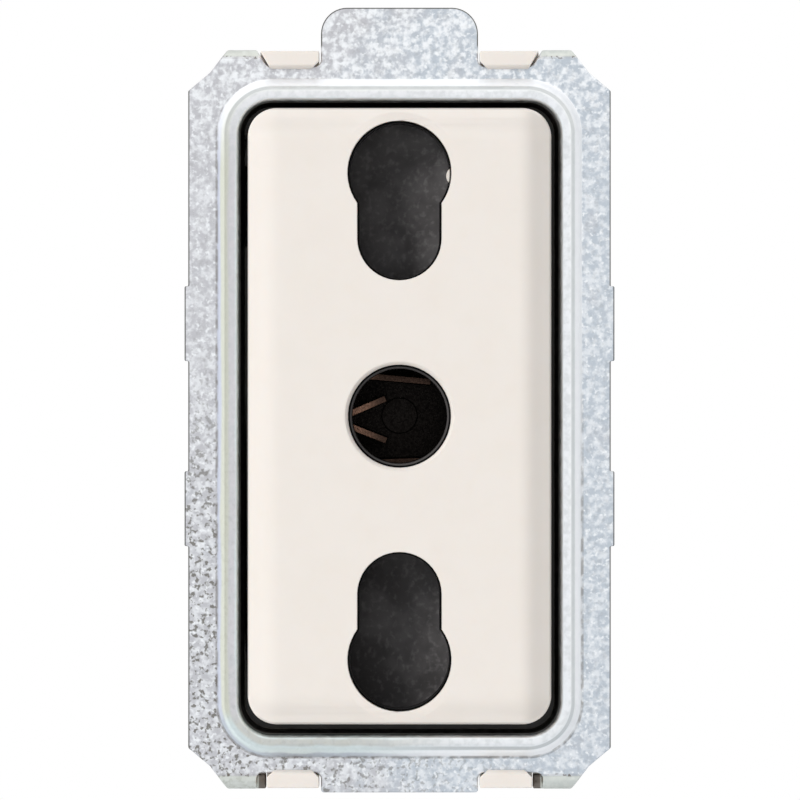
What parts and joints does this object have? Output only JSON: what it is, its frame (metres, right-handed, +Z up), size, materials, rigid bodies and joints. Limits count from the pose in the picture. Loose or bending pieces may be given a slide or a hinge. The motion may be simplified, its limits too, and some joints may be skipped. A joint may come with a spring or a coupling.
{
  "type": "modular wall socket",
  "caption": "Modular wall socket with keyhole pin entries and an earth hole in an ivory face, in a plated steel snap-in frame, with shutter, contacts and clamp terminals.",
  "frame": {"origin": "on the axis of the earth hole, in the plane where the frame's side strips seat", "axes": "+X right, +Z up towards the snap tab, -Y out of the face towards the plug"},
  "size_m": [0.023, 0.0356, 0.0419],
  "materials": {
    "zinc_steel": "zinc plated, mottled satin",
    "ivory_plastic": "smooth satin moulding",
    "black_plastic": "satin moulding",
    "charcoal_plastic": "fine speckled satin",
    "spring_steel": "drawn wire",
    "copper_alloy": "bare sheet",
    "brass": "bare sheet",
    "clamp_steel": "zinc plated",
    "screw_steel": "zinc plated"
  },
  "bodies": {
    "socket": {"mounting_frame": "zinc_steel", "front_cover": "ivory_plastic", "pin_guide": "black_plastic", "rear_housing": "black_plastic", "rear_cover": "black_plastic", "line_contact": "copper_alloy", "earth_contact": "copper_alloy", "neutral_contact": "copper_alloy", "line_terminal": "brass", "earth_terminal": "brass", "neutral_terminal": "brass", "contact_rivets": "brass", "assembly_screws": "screw_steel", "shutter_spring": "spring_steel"},
    "shutter": {"shutter": "charcoal_plastic"},
    "line_screw": {"line_screw": "screw_steel"},
    "line_clamp": {"line_clamp": "clamp_steel"},
    "earth_screw": {"earth_screw": "screw_steel"},
    "earth_clamp": {"earth_clamp": "clamp_steel"},
    "neutral_screw": {"neutral_screw": "screw_steel"},
    "neutral_clamp": {"neutral_clamp": "clamp_steel"}
  },
  "joints": [
    {"name": "shutter_slide", "type": "slide", "parent": "socket", "child": "shutter", "axis": [1, 0, 0], "range_m": [0, 0.0054], "stiffness_N_per_m": 60, "springref_m": -0.002, "deforming": ["shutter_spring"]},
    {"name": "line_screw_turn", "type": "hinge", "parent": "socket", "child": "line_screw", "pos_m": [0, 0.028, 0.01235], "axis": [0, -1, 0], "range_deg": [0, 1440]},
    {"name": "line_clamp_slide", "type": "slide", "parent": "socket", "child": "line_clamp", "axis": [0, 1, 0], "range_m": [0, 0.0024]},
    {"name": "earth_screw_turn", "type": "hinge", "parent": "socket", "child": "earth_screw", "pos_m": [0.0011, 0.028, 0], "axis": [0, -1, 0], "range_deg": [0, 1440]},
    {"name": "earth_clamp_slide", "type": "slide", "parent": "socket", "child": "earth_clamp", "axis": [0, 1, 0], "range_m": [0, 0.0024]},
    {"name": "neutral_screw_turn", "type": "hinge", "parent": "socket", "child": "neutral_screw", "pos_m": [0, 0.028, -0.01235], "axis": [0, -1, 0], "range_deg": [0, 1440]},
    {"name": "neutral_clamp_slide", "type": "slide", "parent": "socket", "child": "neutral_clamp", "axis": [0, 1, 0], "range_m": [0, 0.0024]}
  ],
  "couplings": [
    {"joint": "line_screw_turn", "follows": "line_clamp_slide", "rad_per_m": 10472},
    {"joint": "earth_screw_turn", "follows": "earth_clamp_slide", "rad_per_m": 10472},
    {"joint": "neutral_screw_turn", "follows": "neutral_clamp_slide", "rad_per_m": 10472}
  ]
}
